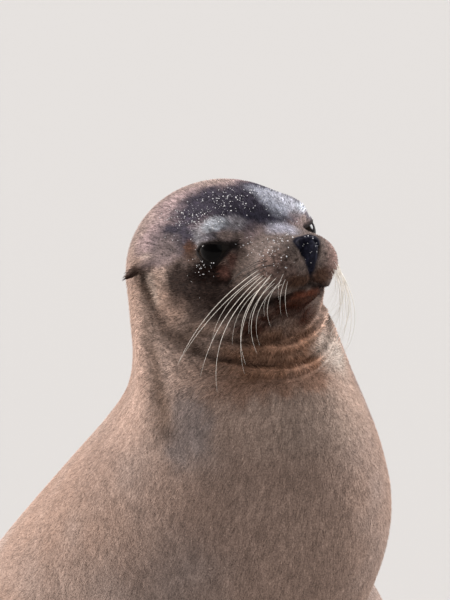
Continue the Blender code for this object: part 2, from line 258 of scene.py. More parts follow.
# Patches of the head, in the order they are laid: colour in thousandths, strength and softness of
# the edge in hundredths, then the centre and reach of each ellipsoid.
PATCHES = {
    "nape": ((260, 205, 190), 85, 40, (0, 225, 45, 100, 66, 70)),
    # painted light: a pale warm band down each side of the neck, for the rim light on its edges
    "painted_light_on_neck_sides": ((440, 315, 260), 80, 50, (108, 204, -95, 16, 22, 60),
        (122, 214, -145, 20, 30, 30)),
    "neck_sheen": ((228, 194, 188), 70, 50, (96, 126, -152, 18, 24, 34),
        (104, 140, -172, 16, 22, 26)),
    "throat_front": ((345, 255, 208), 75, 50, (0, 76, -158, 64, 62, 44)),
    # painted light: paler sides of the throat, where they face the lights from either side
    "painted_light_on_throat_sides": ((450, 325, 265), 75, 50, (58, 80, -150, 24, 32, 34)),
    "under_folds": ((270, 152, 104), 80, 40, (0, 92, -122, 78, 46, 18)),
    "folds": ((165, 84, 50), 88, 35, (0, 88, -98, 80, 44, 22)),
    "face": ((120, 88, 75), 95, 22, (0, 78, -8, 104, 84, 70)),
    "under_jaw": ((165, 88, 56), 55, 45, (34, 82, -80, 40, 38, 13)),
    "cheek": ((350, 242, 194), 90, 50, (88, 138, -34, 18, 22, 16), (70, 110, -62, 20, 22, 9)),
    "crown_fringe": ((300, 226, 232), 88, 35, (0, 100, 52, 60, 66, 40), (46, 140, 52, 46, 56, 36),
        (74, 158, 28, 26, 42, 24)),
    "crown": ((32, 29, 44), 97, 36, (0, 96, 54, 54, 56, 34), (38, 128, 56, 40, 38, 30),
        (68, 142, 30, 22, 32, 18)),
    "forehead": ((16, 15, 26), 70, 50, (10, 72, 37, 16, 18, 10)),
    "temple": ((180, 142, 138), 80, 45, (82, 150, 20, 18, 24, 14)),
    "brow_end": ((330, 305, 325), 80, 55, (36, 83, 36, 12, 11, 7)),
    "brow_outer": ((260, 265, 290), 70, 80, (61, 110, 28, 7, 8, 9)),
    "brow": ((375, 400, 445), 90, 55, (54, 99, 36, 9, 8, 6), (48, 93, 38, 11, 10, 6)),
    "brow_top": ((520, 540, 590), 85, 55, (50, 94, 37, 10, 9, 6)),
    "brow_shade": ((170, 170, 205), 70, 50, (53, 98, 26, 10, 10, 4)),
    "above_eye": ((225, 170, 148), 70, 50, (44, 86, 26, 8, 8, 4), (37, 77, 24, 8, 8, 5)),
    "eye_corner": ((160, 72, 34), 85, 60, (68, 123, 17, 7, 8, 9)),
    "mask_fringe": ((70, 47, 40), 80, 45, (72, 116, -18, 24, 26, 26), (60, 96, -30, 22, 28, 20),
        (72, 113, -44, 15, 17, 11)),
    "mask": ((31, 20, 17), 95, 50, (74, 122, -12, 20, 30, 20), (64, 102, -20, 18, 22, 16)),
    "under_eye": ((9, 4, 3), 97, 35, (62, 104, -6, 18, 22, 12), (55, 88, -12, 12, 14, 10)),
    "inner_eye": ((62, 42, 36), 85, 50, (42, 70, 14, 9, 12, 10)),
    "tear": ((120, 56, 44), 80, 50, (46, 81, 3, 6, 5, 9), (53, 86, -6, 7, 6, 9)),
    "muzzle": ((155, 124, 114), 88, 40, (0, 40, 0, 56, 32, 34)),
    "bridge": ((370, 370, 440), 87, 50, (0, 40, 26, 15, 30, 8)),
    "pads": ((150, 100, 86), 85, 40, (28, 25, -10, 22, 20, 18)),
    "pads_low": ((50, 22, 12), 88, 50, (12, 14, -26, 20, 12, 9)),
    "lower_lip": ((66, 24, 14), 94, 30, (0, 36, -47, 34, 26, 12)),
    "lip_front": ((150, 50, 30), 80, 50, (8, 24, -42, 12, 8, 6)),
    "jaw": ((28, 7, 3), 97, 35, (10, 46, -64, 28, 26, 10), (20, 44, -60, 30, 30, 14),
        (36, 66, -68, 26, 28, 14)),
    # painted shadow under the overhanging whisker pads
    "shadow_under_pad": ((20, 10, 7), 90, 40, (42, 54, -50, 14, 26, 9)),
    # painted highlight: a pale patch on the fur just above each ear
    "painted_highlight_above_ear": ((300, 240, 210), 80, 45, (91, 178, 16, 12, 13, 4)),
}
# Patches of the left side alone, which faces the light from the right: colour, strength, ellipsoid.
# painted sheen on the far crown and brow, painted shade under the far brow, a paler far whisker
# pad, painted light on the far throat
LEFT_PAINTED_LIGHT_AND_SHADE = (((370, 380, 440), 85, (20, 98, 52, 18, 36, 20)),
    ((420, 420, 470), 80, (34, 98, 47, 12, 20, 12)), ((140, 105, 110), 75, (33, 78, 31, 10, 9, 8)),
    ((250, 165, 145), 85, (30, 22, -8, 16, 16, 18)),
    ((480, 410, 360), 85, (58, 88, -108, 24, 36, 24)))
# Coloured lines: colour, width and strength. The dark lines along the neck fold and the jowl are
# painted shade in their grooves.
LINE_COLOURS = (("neck_fold", (70, 40, 24), 15, 68), ("jowl", (30, 16, 10), 12.5, 92),
    ("cheek", (250, 172, 136), 10, 75), ("ear", (40, 23, 19), 8.5, 100),
    # painted shadow under the overhanging whisker pads, along the line below them
    ("ear_fur", (340, 270, 230), 5, 85), ("shadow_under_pad", (20, 12, 10), 9.5, 90),
    ("mouth", (7, 4, 4), 4.4, 100), ("philtrum", (18, 14, 16), 2.6, 90))


# ---- markings ----

def ramp(value, low, high):
    """0 below low, 1 above high, smooth between."""
    t = np.clip((value - low) / (high - low), 0.0, 1.0)
    return t * t * (3 - 2 * t)


def bell(far, width):
    """1 where far is 0, falling away softly over the width."""
    return np.exp(-(far / width) ** 2)


def on_head_weight(local):
    """1 on the head, 0 on the body, smooth over the neck."""
    return ramp(-local[:, 1], -0.26, -0.16) * ramp(local[:, 2], -0.16, -0.09)


def cloud(points, size, seed, octaves=3):
    """Soft random variation from 0 to 1, with features of the given size in metres."""
    total, share = 0.0, 0.0
    for octave in range(octaves):
        place = points / (size * 0.5 ** octave) + 17.3 * (seed + octave)
        corner = np.floor(place).astype(np.int64)
        inside = place - corner
        inside = inside * inside * (3 - 2 * inside)
        value = 0.0
        for step in itertools.product((0, 1), repeat=3):
            mix = np.bitwise_xor.reduce((corner + step) * (73856093, 19349663, 83492791), 1)
            mix ^= seed * 2654435761 + 12345
            mix = ((mix ^ (mix >> 13)) * 1274126177) & 0xFFFFFFFF
            mix = ((mix ^ (mix >> 16)) * 2246822519) & 0xFFFFFFFF
            near = np.prod(np.where(step, inside, 1 - inside), 1)
            value = value + near * (mix / 2 ** 32)
        total = total + value * 0.6 ** octave
        share += 0.6 ** octave
    return total / share


def how_far(places, ellipsoid):
    """Distance from an ellipsoid's centre: 1 on its surface."""
    return lengths((places - ellipsoid[:3]) / ellipsoid[3:])


def tinge(colour, tint, mask):
    """Bring rows of colour towards a tint, in place."""
    colour += (np.array(tint) / 1000 - colour) * mask[:, None]


def body_colour(points):
    colour = np.full((len(points), 3), FAWN) / 1000
    tinge(colour, PALE_FAWN, ramp(cloud(points, 0.13, 1), 0.35, 0.75))
    grey = ramp(cloud(points, 0.20, 21), 0.40, 0.75) * ramp(points[:, 2], 0.25, 0.50)
    tinge(colour, ASH, 0.22 * grey)
    tinge(colour, BELLY, 0.6 * (1 - ramp(points[:, 2], 0.03, 0.24)))
    return colour


def draw_face(colour, side, wobble):
    """Lay the coloured lines, the folds' light and shade, the pads' spots and the dark eyelids."""
    ragged = side + wobble * 0.004
    for name, tint, width, strength in LINE_COLOURS:
        path = EAR_LINE if name == "ear" else LINES[name]
        far = path_distance(ragged, path)[0]
        tinge(colour, tint, strength / 100 * bell(far, width * MM))
    for fold in ("upper_fold", "lower_fold"):
        for line, width, gain in ((fold + "_above", 0.0038, -0.66), (fold, 0.0022, 1.10)):
            far = path_distance(ragged, LINES[line])[0]
            colour *= (1 + gain * bell(far, width))[:, None]
    for spot in LINES["pad_spots"]:
        tinge(colour, PAD_SPOT, 0.92 * bell(lengths(ragged - spot), 0.0017))
    away, far, outside = over_eye(out_of_head(side), EYES[0])
    dark = (far < EYES[0].radius * 1.6) * (away[:, 2] > -0.002)
    tinge(colour, LID_RIM, 0.95 * dark * (1 - ramp(outside, 0.0015, 0.0050)))


def markings(points):
    """The coat's colour with the painted light and shade laid among its markings, one row for each
    world point.
    """
    local = into_head(points)
    side = mirrored(local)
    wobble = np.stack([cloud(points, 0.012, 3 + k) for k in range(3)], 1) - 0.5
    colour = body_colour(points)
    for tint, strength, edge, *ellipsoids in PATCHES.values():
        mask = np.zeros(len(points))
        for ellipsoid in ellipsoids:
            ragged = side / MM + wobble * min(22, 1.2 * min(ellipsoid[3:]))
            far = how_far(ragged, ellipsoid)
            mask = np.maximum(mask, 1 - ramp(far, 1 - edge / 100, 1 + edge / 100))
        tinge(colour, tint, mask * strength / 100)
    near_head = lengths(side - (0.05, 0.10, -0.05)) < 0.19
    face = colour[near_head]
    draw_face(face, side[near_head], wobble[near_head])
    colour[near_head] = face
    # painted sheen, shade and light on the left side alone, which faces the light from the right
    on_left = ramp(local[:, 0], 0.001, 0.011)
    for tint, strength, ellipsoid in LEFT_PAINTED_LIGHT_AND_SHADE:
        far = how_far(side / MM + wobble * 12, ellipsoid)
        tinge(colour, tint, (1 - ramp(far, 0.35, 1.6)) * on_left * strength / 100)
    edge = outside_nose(side) + wobble[:, 0] * 0.0024
    tinge(colour, NOSE_BLACK, 1 - ramp(edge, -0.0010, 0.0022))
    along_face = cloud(side * (1.0, 0.34, 0.80), 0.0017, 31, 2)
    along_body = cloud(points * (1.0, 0.8, 0.30), 0.0022, 33, 2)
    head = on_head_weight(side)
    streaks = along_body + (along_face - along_body) * head
    colour *= 0.96 * np.exp((streaks - 0.5) * (0.9 + 0.9 * head))[:, None]
    return np.clip(colour, 0.002, 1.0)


def fur_material(name, on_skin):
    """Short flat fur: tufts coloured hair by hair, and a fine nap on the skin between."""
    shader = Shader(name)
    world = shader.node("NewGeometry", {})["Position"]
    fine = shader.noise(world, 620.0, 2.0)
    colour = shader.node("Attribute", {}, attribute_name="coat_colour")["Color"]
    bare = Sum(shader, shader.node("Attribute", {}, attribute_name="bare")["Fac"])
    colour = shader.node("VectorMath", {0: colour, "Scale": 0.28 + fine * 1.44},
                         operation="SCALE")["Vector"]
    shader.set(Base_Color=colour, Roughness=0.72 - bare * 0.14, Sheen_Weight=0.006,
               Sheen_Roughness=0.40, Specular_IOR_Level=0.05 if on_skin else 0.0)
    if on_skin:
        pores = shader.noise(world, 420.0, 3.0)
        creases = shader.noise(world, 60.0, 5.0, 0.6)
        shader.bump(fine * 0.5 + pores * 0.5 + bare * creases * 2.0, 0.45, 0.0012)
    return shader.material


# ---- mesh helpers ----

def read(rows, name, width=1, kind=np.float32):
    """One property of all rows of a Blender collection."""
    flat = np.empty(width * len(rows), kind)
    rows.foreach_get(name, flat)
    return flat.reshape(-1, width) if width > 1 else flat


def write(rows, name, values, kind=np.float32):
    rows.foreach_set(name, np.ascontiguousarray(values, kind).ravel())


def positions(mesh):
    return read(mesh.vertices, "co", 3).astype(float)


def normals(mesh):
    return read(mesh.vertex_normals, "vector", 3).astype(float)


def set_positions(mesh, points):
    write(mesh.vertices, "co", points)
    mesh.update()


def paint(mesh, colour, bare):
    """Store the colour and the bareness of each point."""
    layer = mesh.attributes.new("coat_colour", "FLOAT_COLOR", "POINT")
    write(layer.data, "color", np.column_stack([colour, np.ones(len(colour))]))
    write(mesh.attributes.new("bare", "FLOAT", "POINT").data, "value", bare)


def link(name, data):
    thing = bpy.data.objects.new(name, data)
    bpy.context.scene.collection.objects.link(thing)
    return thing


def add_piece(name, mesh, material):
    mesh.materials.append(material)
    return link(name, mesh)


def mesh_from_work(name, work):
    mesh = bpy.data.meshes.new(name)
    work.to_mesh(mesh)
    work.free()
    return mesh


def mesh_from_arrays(name, points, triangles):
    """A smooth triangle mesh from numpy rows, quickly."""
    mesh = bpy.data.meshes.new(name)
    mesh.vertices.add(len(points))
    write(mesh.vertices, "co", points)
    mesh.loops.add(3 * len(triangles))
    write(mesh.loops, "vertex_index", triangles, np.int32)
    mesh.polygons.add(len(triangles))
    write(mesh.polygons, "loop_start", 3 * np.arange(len(triangles)), np.int32)
    mesh.update(calc_edges=True)
    mesh.shade_smooth()
    return mesh


def surface_of(thing):
    return BVHTree.FromObject(thing, bpy.context.evaluated_depsgraph_get())


def onto(tree, points):
    """The nearest places of a surface, one row for each point."""
    return np.array([tree.find_nearest(Vector(p))[0] for p in points])


def path_distance(points, path):
    """Distance from each point to a chain of runs, and how far along it the nearest place is."""
    best = np.full(len(points), 1e9)
    along = np.zeros(len(points))
    runs = lengths(np.diff(path, axis=0))
    starts = np.concatenate([[0], np.cumsum(runs)])
    for i, run in enumerate(runs):
        a, d = path[i], (path[i + 1] - path[i]) / run
        t = np.clip((points - a) @ d, 0, run)
        far = lengths(points - a - t[:, None] * d)
        near = far < best
        best[near] = far[near]
        along[near] = (starts[i] + t[near]) / starts[-1]
    return best, along


def crease(side, line, width, depth, start, end):
    """A groove along a line, fading over a share of it at each end; a negative depth is a ridge."""
    near = np.abs(side - np.mean(line, 0)).max(1) < 0.12
    far, along = path_distance(side[near], line)
    groove = -depth * bell(far, width)
    if end:
        groove *= 1 - ramp(along, 1 - end, 1.0)
    if start:
        groove *= ramp(along, 0.0, start)
    out = np.zeros(len(side))
    out[near] = groove
    return out


def refine(mesh, regions):
    """Split the faces within reach of any of the given places into four."""
    points = positions(mesh)
    near = np.zeros(len(points), bool)
    for centre, reach in regions:
        near |= lengths(points - np.array(centre)) < reach
    work = bmesh.new()
    work.from_mesh(mesh)
    work.verts.ensure_lookup_table()
    edges = [e for e in work.edges if near[e.verts[0].index] and near[e.verts[1].index]]
    bmesh.ops.subdivide_edges(work, edges=edges, cuts=1, use_grid_fill=True)
    work.to_mesh(mesh)
    work.free()


def smooth_points(mesh, rounds, weight):
    """Relax the points towards their neighbours' middle, by a weight for each point."""
    points = positions(mesh)
    pairs = read(mesh.edges, "vertices", 2, np.int32)
    ends, others = np.concatenate([pairs, pairs[:, ::-1]]).T
    count = np.bincount(ends, minlength=len(points))[:, None]
    for _ in range(rounds):
        total = [np.bincount(ends, axis, len(points)) for axis in points[others].T]
        points += (np.stack(total, 1) / count - points) * weight[:, None]
    set_positions(mesh, points)


# ---- skin ----

# The bare nose seen from the front, in mm: heights, and half its width at each.
NOSE_OUTLINE = ((-24, -21.3, -16.5, -10.8, -3.7, 2, 8, 12.5, 15, 16.5),
                (0.5, 1.4, 3.6, 5.6, 7.7, 10.4, 12.8, 12.8, 9, 0.5))
NOSE_TOP, NOSE_FOOT, NOSE_DEPTH = 0.0160, -0.0235, 0.0190


def outside_nose(local):
    """How far a point of the muzzle's front lies outside the bare nose, in metres."""
    across, back, up = np.abs(local[:, 0]), local[:, 1], local[:, 2]
    beyond = across - np.interp(up / MM, *NOSE_OUTLINE) * MM
    beyond = np.maximum(beyond, np.maximum(up - NOSE_TOP, NOSE_FOOT - up))
    return np.maximum(beyond, back - NOSE_DEPTH + np.minimum(up, 0) * 0.3)


# Creases and, with a negative depth, ridges of the face, in mm: line, width, depth, and the share
# of the line over which it fades in and out.
CREASES = (("mouth", 3, 8, 0, 0), ("upper_lip", 5.8, -2.8, 0.1, 0.1),
    ("lower_lip", 5, -1.4, 0.1, 0.1), ("philtrum", 1.3, 3, 0, 0), ("nostril", 1.4, 4.6, 0.1, 0.1),
    ("upper_fold", 4.2, -3.4, 0, 0.16), ("upper_fold_above", 5.6, 5, 0, 0.16),
    ("upper_fold_below", 4.4, 2.8, 0, 0.16), ("lower_fold", 4.2, -3.8, 0, 0.16),
    ("lower_fold_above", 5.6, 5.6, 0, 0.16), ("lower_fold_below", 4.4, 3, 0, 0.16),
    ("jowl", 10, 4, 0.2, 0.2), ("cheek", 12, -2.2, 0.2, 0.2), ("neck_fold", 14, 4.5, 0.3, 0.3))

# Swellings and hollows of the face, in mm: centre, reach and height.
HILLS = (
    (27, 29, -16, 13, 16, 10, 2.4),
    (55, 100, 36, 22, 20, 10, 2.2),
    (50, 78, 2, 10, 8, 14, -2),
    (0, 70, 30, 16, 16, 20, -1.6),
    (64, 112, -12, 14, 20, 6, -1.4),
    (60, 106, -26, 16, 22, 10, 1.6),
)
DIGIT_RIDGE_WIDTH, DIGIT_RIDGE_HEIGHT = 0.0058, 0.0030


def sculpt_face(side):
    """Heights, along the skin's normals, of the forms of the face and throat."""
    rise = np.zeros(len(side))
    for *ellipsoid, height in HILLS:
        rise += height * MM * np.exp(-0.5 * how_far(side / MM, ellipsoid) ** 2)
    for name, width, depth, start, end in CREASES:
        rise += crease(side, LINES[name], width * MM, depth * MM, start, end)
    edge = outside_nose(side)
    rise += 0.0009 * (1 - ramp(edge, -0.0025, 0.0)) - 0.0011 * bell(edge, 0.0012)
    return rise


def sculpt_flippers(side):
    """Long ridges over the fingers and toes, highest at their roots."""
    return sum(crease(side, line, DIGIT_RIDGE_WIDTH, -DIGIT_RIDGE_HEIGHT, 0.0, 0.9)
               for line in DIGIT_LINES.values())


Eye = namedtuple("Eye", "name centre radius axes")      # axes towards the nose, up and outwards


def eye_frames():
    frames = []
    for name, side in (("eye_left", 1), ("eye_right", -1)):
        low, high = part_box(name)
        outward = unit(np.array((0.80 * side, -0.58, 0.14)))
        level = unit(np.cross(outward, (0, 0, 1)) * side)
        upward = np.cross(level, outward) * side
        axes = HEAD_AXES @ np.stack([level, upward, outward], 1)
        frames.append(Eye(name, np.array(box_centre(name)), 0.5 * (high[2] - low[2]), axes))
    return frames


EYES = eye_frames()

# The eye's opening over the ball, seen square on, in mm: places from the outer corner to the inner
# one by the nose, and the lid's height at each. The upper lid is nearly level, the lower one deep.
UPPER_LID = ((-16.6, -12.7, -8, -1.8, 5.4, 11.6, 16, 18.6), (-0.6, 2.2, 4.3, 4.6, 3.9, 3, 2, 1))
LOWER_LID = ((-16.6, -13.1, -8.8, -4.7, -1.5, 4.3, 9.8, 13.8, 16.9, 18.6),
             (-0.6, -5.2, -9.4, -11.8, -12.4, -11.2, -7.8, -4.2, -1, 1))


def outside_opening(u, v):
    """How far a point over the ball lies outside the eye's opening, in metres; negative inside."""
    upper, lower = (np.interp(u / MM, *lid) * MM for lid in (UPPER_LID, LOWER_LID))
    gap = np.maximum(v - upper, lower - v)
    beyond = np.maximum(u - UPPER_LID[0][-1] * MM, UPPER_LID[0][0] * MM - u)
    return np.where(beyond > 0, np.hypot(beyond, np.maximum(gap, 0)), gap)


def over_eye(points, eye):
    """Points in an eye's axes, their distance from its centre, and from its opening."""
    away = (points - eye.centre) @ eye.axes
    on_ball = unit(away) * eye.radius
    return away, lengths(away), outside_opening(on_ball[:, 0], on_ball[:, 1])


def shape_lids(points):
    """Part the skin over each eyeball into its opening, with thick rims that hug the ball."""
    for eye in EYES:
        away, far, outside = over_eye(points, eye)
        near = (far < eye.radius * 1.75) & (away[:, 2] > -0.004)
        away, far, outside = away[near], far[near], outside[near]
        # inside the opening the skin drops behind the ball; at its edge it stands on the ball
        target = eye.radius + 0.0010 + 0.0009 * ramp(outside, 0.0, 0.0020)
        target -= 0.0042 * ramp(-outside, 0.0001, 0.0011)
        keep = ramp(outside, 0.0012, 0.0105)
        hold = 1 - ramp(far, eye.radius * 1.22, eye.radius * 1.70)
        hold = np.where(outside < 0.0012, 1.0, hold) * ramp(away[:, 2], -0.004, 0.004)
        final = far + (target - far) * (1 - keep) * hold
        clear = (outside > 0) & (away[:, 2] > 0.002)
        final = np.where(clear, np.maximum(final, eye.radius + 0.0012), final)
        points[near] = eye.centre + (away * (final / far)[:, None]) @ eye.axes.T


def ear_axes(side):
    """Root and axes of an ear in the head's axes: outwards along it, across it and up."""
    along = unit(np.array((0.66 * side, 0.72, -0.21)))
    across = unit(np.cross((0, 0, 1), along))
    return EAR_ROOT * (side, 1, 1), along, across, np.cross(along, across)


def draw_out_ears(points):
    """Pull the skin out into an ear: rings round the root become rings further along it."""
    local = into_head(points)
    for side in (1, -1):
        root, along, across, upward = ear_axes(side)
        away = local - root
        t, a, b = away @ along, away @ across / 0.80, away @ upward
        rho = np.hypot(a, b)
        near = (rho < EAR_FOOT) & (np.abs(t) < 0.016) & (local[:, 0] * side > 0.06)
        u = 1 - rho[near] / EAR_FOOT
        reach = u ** 0.85
        girth = (EAR_FOOT - EAR_GIRTH) * (1 - ramp(reach, 0.0, 0.22))
        girth += EAR_GIRTH * np.sqrt(np.clip(1 - reach ** 2.2, 0, 1))
        angle = np.arctan2(b[near], a[near])
        w = ramp(u, 0.0, 0.30)
        length = t[near] * (1 - w) + EAR_LENGTH * reach * w
        sag = EAR_SAG * np.clip(length / EAR_LENGTH, 0, 1) ** 2
        local[near] = (root + length[:, None] * along
                       + (0.72 * girth * np.cos(angle))[:, None] * across
                       + (girth * np.sin(angle) - sag)[:, None] * upward)
    return out_of_head(local)


def roll_ears(points):
    """Fold the underside of each ear in, so it reads as a small rolled leaf."""
    local = into_head(points)
    for side in (1, -1):
        root, along, across, upward = ear_axes(side)
        away = local - root
        t = away @ along / EAR_LENGTH
        a, b = away @ across * side, away @ upward + EAR_SAG * np.clip(t, 0, 1) ** 2
        near = (t > 0.2) & (t < 1.2) & (np.hypot(a, b) < EAR_FOOT)
        a, b = a[near], b[near]
        turn = np.angle(np.exp(1j * (np.arctan2(b, a) + 2.2)))
        slit = 0.50 * bell(turn, 0.42) * ramp(t[near], 0.2, 0.4)
        local[near] -= (a * slit)[:, None] * across * side + (b * slit)[:, None] * upward
    return out_of_head(local)


def bare_parts(points):
    """1 on the hairless ends of the flippers, 0 on the furred body."""
    out = np.zeros(len(points))
    ragged = (cloud(points, 0.010, 41) - 0.5) * 0.016
    for side, sign in (("left", 1), ("right", -1)):
        across, back, up = points[:, 0] * sign, points[:, 1], points[:, 2]
        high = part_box("fore_flipper_" + side)[1]
        reach = across + 0.35 * (0.13 - up) + ragged
        out = np.maximum(out, ramp(reach, 0.218, 0.242) * (back < high[1] + 0.02))
        name = "hind_flipper_" + side
        low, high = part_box(name)
        near = (up < 0.09) & (across > 0.04) & (back < high[1] - 0.05) & (back > low[1] - 0.02)
        tree = surface_of(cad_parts[name])
        far = np.array([tree.find_nearest(Vector(p))[3] for p in points[near]])
        foot = ramp(ragged[near] - back[near], 0.115 - high[1], 0.145 - high[1])
        out[near] = np.maximum(out[near], foot * (1 - ramp(far, 0.005, 0.008)))
    return out


def join_flesh():
    """One closed skin of even faces round the flesh and the eyeballs."""
    parts = bmesh.new()
    for name in FLESH:
        if not name.startswith("ear"):
            parts.from_mesh(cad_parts[name].data)
    for eye in EYES:
        bmesh.ops.create_icosphere(parts, subdivisions=4, radius=eye.radius - 0.0004,
                                   matrix=Matrix.Translation(eye.centre))
    bmesh.ops.remove_doubles(parts, verts=parts.verts, dist=1e-6)
    skin = link("skin", mesh_from_work("skin", parts))
    remesh = skin.modifiers.new("Remesh", "REMESH")
    remesh.mode, remesh.voxel_size = "VOXEL", SKIN_GRAIN
    bpy.context.view_layer.update()
    solved = skin.evaluated_get(bpy.context.evaluated_depsgraph_get())
    mesh = bpy.data.meshes.new_from_object(solved)
    skin.modifiers.clear()
    skin.data = mesh
    smooth_points(mesh, 5, np.full(len(mesh.vertices), 0.5))
    return skin


def head_spot(*place):
    """A place in mm in the head's axes, in the world."""
    return HEAD @ (Vector(place) * MM)


def refine_head(mesh):
    """Finer faces where the head's forms are fine, and the ears drawn out of its sides."""
    ears = [ear_axes(side) for side in (1, -1)]
    roots = [out_of_head(root) for root, *axes in ears]
    tips = [out_of_head(root + 0.6 * EAR_LENGTH * along) for root, along, *others in ears]
    refine(mesh, [(head_spot(0, 110, -20), 0.165)])
    refine(mesh, [(box_centre("nose_pad"), 0.036), (head_spot(0, 30, -35), 0.042)]
           + [(eye.centre, 0.030) for eye in EYES] + [(root, 0.015) for root in roots]
           + [(head_spot(0, 92, -104), 0.068)])
    refine(mesh, [(eye.centre + eye.axes @ (0.001, -0.004, eye.radius), 0.0205) for eye in EYES])
    points = positions(mesh)
    from_muzzle = lengths(points - np.array(head_spot(0, 45, -15)))
    smooth_points(mesh, 3, np.clip(1.4 * bell(from_muzzle, 0.10), 0, 0.5))
    set_positions(mesh, draw_out_ears(positions(mesh)))
    refine(mesh, [(tip, 0.013) for tip in tips])
    points = positions(mesh)
    on_ears = np.min([lengths(points - tip) for tip in tips], 0) < 0.018
    smooth_points(mesh, 2, on_ears * 0.5)
    set_positions(mesh, roll_ears(positions(mesh)))


def sculpt_skin(mesh):
    """Sink the skin under its coat, raise the forms of face and flippers, and open the lids."""
    points = positions(mesh)
    side = mirrored(into_head(points))
    coat = COAT_DEPTH_BODY + (COAT_DEPTH_HEAD - COAT_DEPTH_BODY) * on_head_weight(side)
    points -= normals(mesh) * (coat * (1 - bare_parts(points)))[:, None]
    points += normals(mesh) * (sculpt_face(side) + sculpt_flippers(mirrored(points)))[:, None]
    shape_lids(points)
    set_positions(mesh, points)
    rims = np.zeros(len(points))
    for eye in EYES:
        away, far, outside = over_eye(points, eye)
        rims[(np.abs(outside) < 0.0016) & (far < eye.radius * 1.5) & (away[:, 2] > 0)] = 0.5
    smooth_points(mesh, 2, rims)


def make_skin():
    skin = join_flesh()
    mesh = skin.data
    refine_head(mesh)
    lay_lines_on(surface_of(skin))
    sculpt_skin(mesh)
    points = positions(mesh)
    bare = bare_parts(points)
    hide = np.array(HIDE) / 1000 * (0.6 + 0.9 * cloud(points, 0.03, 9))[:, None]
    colour = markings(points)
    paint(mesh, colour + (hide - colour) * bare[:, None], bare)
    mesh.shade_smooth()
    mesh.materials.append(fur_material("skin_and_short_fur", on_skin=True))
    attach(skin, "root")
    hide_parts(*FLESH)
    return skin


# ---- eyes ----

def eye_material():
    shader = Shader("wet_dark_eye")
    coordinates = shader.node("TexCoord", {})["Object"]
    depth = Sum(shader, shader.node("SeparateXYZ", {0: coordinates})["Z"])
    streaks = shader.noise(coordinates, 420.0, 3.0)
    iris = shader.mix(streaks, (0.007, 0.005, 0.004), (0.014, 0.010, 0.007))
    pupil = shader.step(depth, 0.0176, 0.0186)
    dark = shader.mix(pupil, iris, (0.002, 0.0015, 0.0015))
    # beyond the iris the ball is pale grey: partly the sclera, partly a painted highlight of the
    # wet lower rim
    sclera_and_rim_highlight = 1 - shader.step(depth, 0.0100, 0.0120)
    shader.set(Base_Color=shader.mix(sclera_and_rim_highlight, dark, (0.050, 0.055, 0.062)), Roughness=0.16,
               Coat_Weight=0.03, Coat_Roughness=0.05, Specular_IOR_Level=0.06)
    return shader.material


def make_eyes():
    material = eye_material()
    for name, centre, radius, axes in EYES:
        ball = bmesh.new()
        bmesh.ops.create_uvsphere(ball, u_segments=64, v_segments=40, radius=radius)
        mesh = mesh_from_work("glossy_" + name, ball)
        points = positions(mesh)
        cornea = ramp(points[:, 2], 0.70 * radius, 0.99 * radius)
        set_positions(mesh, points * (1 + 0.035 * cornea)[:, None])
        mesh.shade_smooth()
        eye = add_piece("glossy_" + name, mesh, material)
        eye.matrix_world = Matrix.Translation(centre) @ Matrix(axes.tolist()).to_4x4()
        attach(eye, "root")
        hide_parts(name)


# ---- whiskers, nails and sand ----

# Root, middle and tip of each whisker of one side, then its thickness.
LONG_WHISKERS = (
    (44, 40, -7, 97, 74, -54, 118, 88, -85, 0.78), (44, 36, -10, 88, 65, -47, 117, 84, -81, 0.7),
    (44, 34, -14, 90, 64, -68, 104, 73, -99, 0.78), (44, 30, -17, 91, 61, -89, 94, 64, -116, 0.78),
    (43, 38, -14, 84, 65, -57, 89, 68, -70, 0.52), (42, 24, -17, 71, 43, -72, 70, 43, -94, 0.72),
    (42, 21, -14, 72, 41, -72, 73, 43, -102, 0.62), (39, 15, -20, 64, 32, -65, 62, 32, -85, 0.66),
    (34, 12, -25, 49, 22, -49, 48, 22, -62, 0.56), (30, 10, -24, 38, 15, -43, 38, 16, -53, 0.46),
    (41, 30, -24, 71, 50, -57, 75, 53, -74, 0.46), (38, 22, -27, 62, 38, -58, 63, 39, -67, 0.42),
    (36, 18, -29, 58, 33, -65, 57, 33, -78, 0.46), (32, 14, -31, 50, 26, -46, 50, 26, -52, 0.4),
    (33, 7, -17, 39, 12, -30, 40, 12, -38, 0.4), (27, 9, -28, 34, 12, -44, 34, 12, -56, 0.4))

DARK_WHISKERS = (
    (34, 22, 1, 44, 44, -5, 56, 68, -16, 0.8), (37, 36, 2, 45, 58, -7, 56, 80, -22, 0.76),
    (38, 26, -8, 46, 48, -16, 55, 70, -28, 0.76), (40, 20, -4, 50, 38, -9, 60, 56, -20, 0.7),
    (36, 16, -4, 46, 30, -8, 57, 44, -16, 0.7), (41, 30, -2, 50, 48, -12, 60, 66, -26, 0.66))

# Long stray hairs over each eye.
BROW_HAIRS = (
    (40, 76, 36, 50, 84, 47, 60, 96, 47, 0.34), (44, 82, 38, 56, 94, 46, 66, 108, 42, 0.3))

# On the left the middles and tips hang closer: shares of their places, and a drop in metres.
LONG_HANG = (((0.43, 0.45, 1.0), (0.21, 0.50, 1.0)), 0.0)
DARK_HANG = ((0.80, 1.0, 1.0), 0.010)
WHISKER_RADIUS = 0.00044      # at the root, for a thickness of 1
ROOT_DEPTH = 0.0012           # of a whisker's root under the skin


